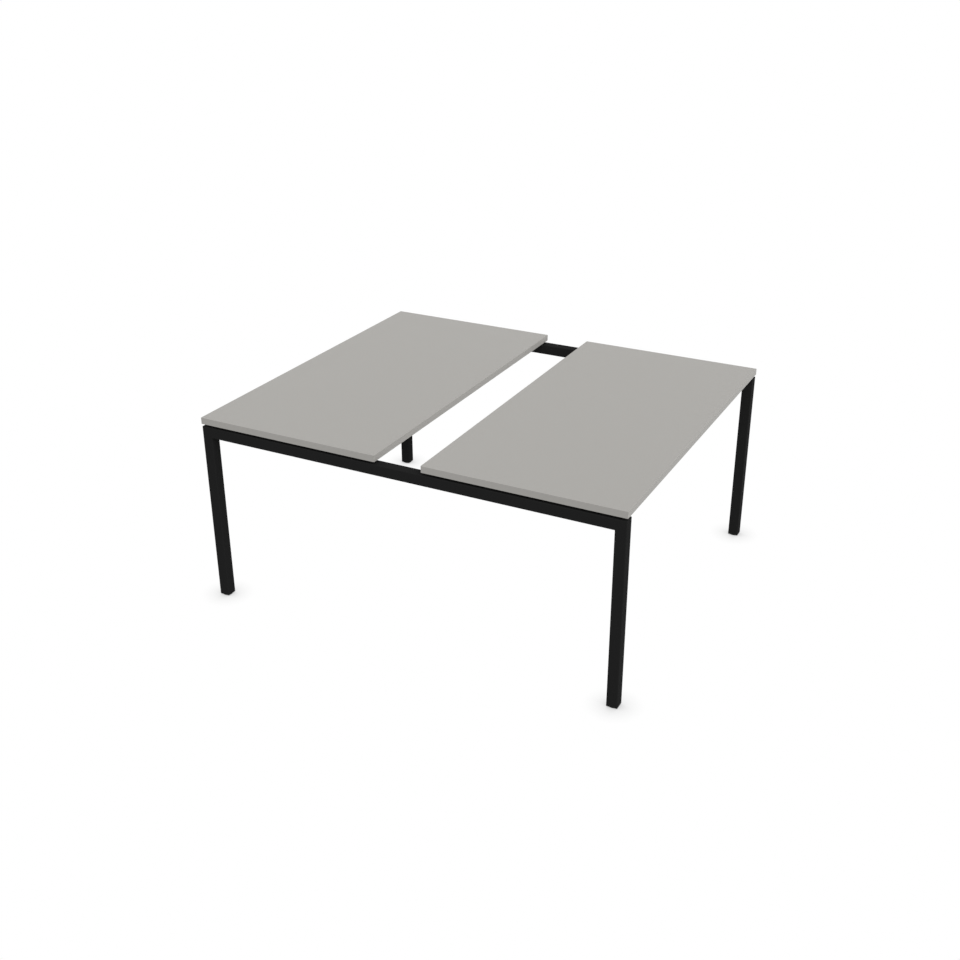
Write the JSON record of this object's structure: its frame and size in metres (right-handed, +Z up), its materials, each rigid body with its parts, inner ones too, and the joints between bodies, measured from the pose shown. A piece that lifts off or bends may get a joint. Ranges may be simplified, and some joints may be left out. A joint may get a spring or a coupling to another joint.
{
  "type": "conference table",
  "caption": "Rectangular conference table: light grey worktops either side of an open centre channel, floating on a black square-tube frame with levelling glides.",
  "frame": {"origin": "on the floor, under the middle of the table", "axes": "+X across both tops and along the rails, +Y along the tops from the front rail to the rear rail, +Z up"},
  "size_m": [1.64, 1.4, 0.735],
  "materials": {
    "melamine_board": "light grey melamine facing on a particle board core, matt with a fine pearl texture",
    "abs_edging": "light grey ABS edging, matched to the facing",
    "powder_coated_steel": "black powder coat with a fine texture, satin to matt",
    "spacer_plastic": "black moulded polyamide",
    "plug_plastic": "black moulded polypropylene",
    "glide_plastic": "black moulded polyamide, smooth on its underside",
    "insert_brass": "turned, unpolished",
    "zinc_plated_steel": "bright zinc plate"
  },
  "bodies": {
    "frame": {"front_beam_bolts": "zinc_plated_steel", "front_left_leg": "powder_coated_steel", "front_left_leg_plug": "plug_plastic", "front_left_plug_nut": "zinc_plated_steel", "front_rail": "powder_coated_steel", "front_right_leg": "powder_coated_steel", "front_right_leg_plug": "plug_plastic", "front_right_plug_nut": "zinc_plated_steel", "front_rivet_nuts": "zinc_plated_steel", "left_inner_beam": "powder_coated_steel", "left_inner_beam_plates": "powder_coated_steel", "left_outer_beam": "powder_coated_steel", "left_outer_beam_plates": "powder_coated_steel", "left_top_board": "melamine_board", "left_top_edging": "abs_edging", "left_top_inserts": "insert_brass", "left_top_screws": "zinc_plated_steel", "left_top_spacers": "spacer_plastic", "rear_beam_bolts": "zinc_plated_steel", "rear_left_leg": "powder_coated_steel", "rear_left_leg_plug": "plug_plastic", "rear_left_plug_nut": "zinc_plated_steel", "rear_rail": "powder_coated_steel", "rear_right_leg": "powder_coated_steel", "rear_right_leg_plug": "plug_plastic", "rear_right_plug_nut": "zinc_plated_steel", "rear_rivet_nuts": "zinc_plated_steel", "right_inner_beam": "powder_coated_steel", "right_inner_beam_plates": "powder_coated_steel", "right_outer_beam": "powder_coated_steel", "right_outer_beam_plates": "powder_coated_steel", "right_top_board": "melamine_board", "right_top_edging": "abs_edging", "right_top_inserts": "insert_brass", "right_top_screws": "zinc_plated_steel", "right_top_spacers": "spacer_plastic"},
    "front_left_pad": {"front_left_glide_pad": "glide_plastic"},
    "front_left_stem": {"front_left_glide_stem": "zinc_plated_steel"},
    "front_right_pad": {"front_right_glide_pad": "glide_plastic"},
    "front_right_stem": {"front_right_glide_stem": "zinc_plated_steel"},
    "rear_left_pad": {"rear_left_glide_pad": "glide_plastic"},
    "rear_left_stem": {"rear_left_glide_stem": "zinc_plated_steel"},
    "rear_right_pad": {"rear_right_glide_pad": "glide_plastic"},
    "rear_right_stem": {"rear_right_glide_stem": "zinc_plated_steel"}
  },
  "joints": [
    {"name": "front_left_pad_lower", "type": "slide", "parent": "frame", "child": "front_left_pad", "axis": [0, 0, -1], "range_m": [0, 0.015]},
    {"name": "front_left_stem_turn", "type": "hinge", "parent": "front_left_pad", "child": "front_left_stem", "pos_m": [-0.798, -0.68, 0.02], "axis": [0, 0, -1], "range_deg": [0, 4320]},
    {"name": "front_right_pad_lower", "type": "slide", "parent": "frame", "child": "front_right_pad", "axis": [0, 0, -1], "range_m": [0, 0.015]},
    {"name": "front_right_stem_turn", "type": "hinge", "parent": "front_right_pad", "child": "front_right_stem", "pos_m": [0.798, -0.68, 0.02], "axis": [0, 0, -1], "range_deg": [0, 4320]},
    {"name": "rear_left_pad_lower", "type": "slide", "parent": "frame", "child": "rear_left_pad", "axis": [0, 0, -1], "range_m": [0, 0.015]},
    {"name": "rear_left_stem_turn", "type": "hinge", "parent": "rear_left_pad", "child": "rear_left_stem", "pos_m": [-0.798, 0.68, 0.02], "axis": [0, 0, -1], "range_deg": [0, 4320]},
    {"name": "rear_right_pad_lower", "type": "slide", "parent": "frame", "child": "rear_right_pad", "axis": [0, 0, -1], "range_m": [0, 0.015]},
    {"name": "rear_right_stem_turn", "type": "hinge", "parent": "rear_right_pad", "child": "rear_right_stem", "pos_m": [0.798, 0.68, 0.02], "axis": [0, 0, -1], "range_deg": [0, 4320]}
  ],
  "couplings": [
    {"joint": "front_left_stem_turn", "follows": "front_left_pad_lower", "rad_per_m": 5026.5},
    {"joint": "front_right_stem_turn", "follows": "front_right_pad_lower", "rad_per_m": 5026.5},
    {"joint": "rear_left_stem_turn", "follows": "rear_left_pad_lower", "rad_per_m": 5026.5},
    {"joint": "rear_right_stem_turn", "follows": "rear_right_pad_lower", "rad_per_m": 5026.5}
  ]
}
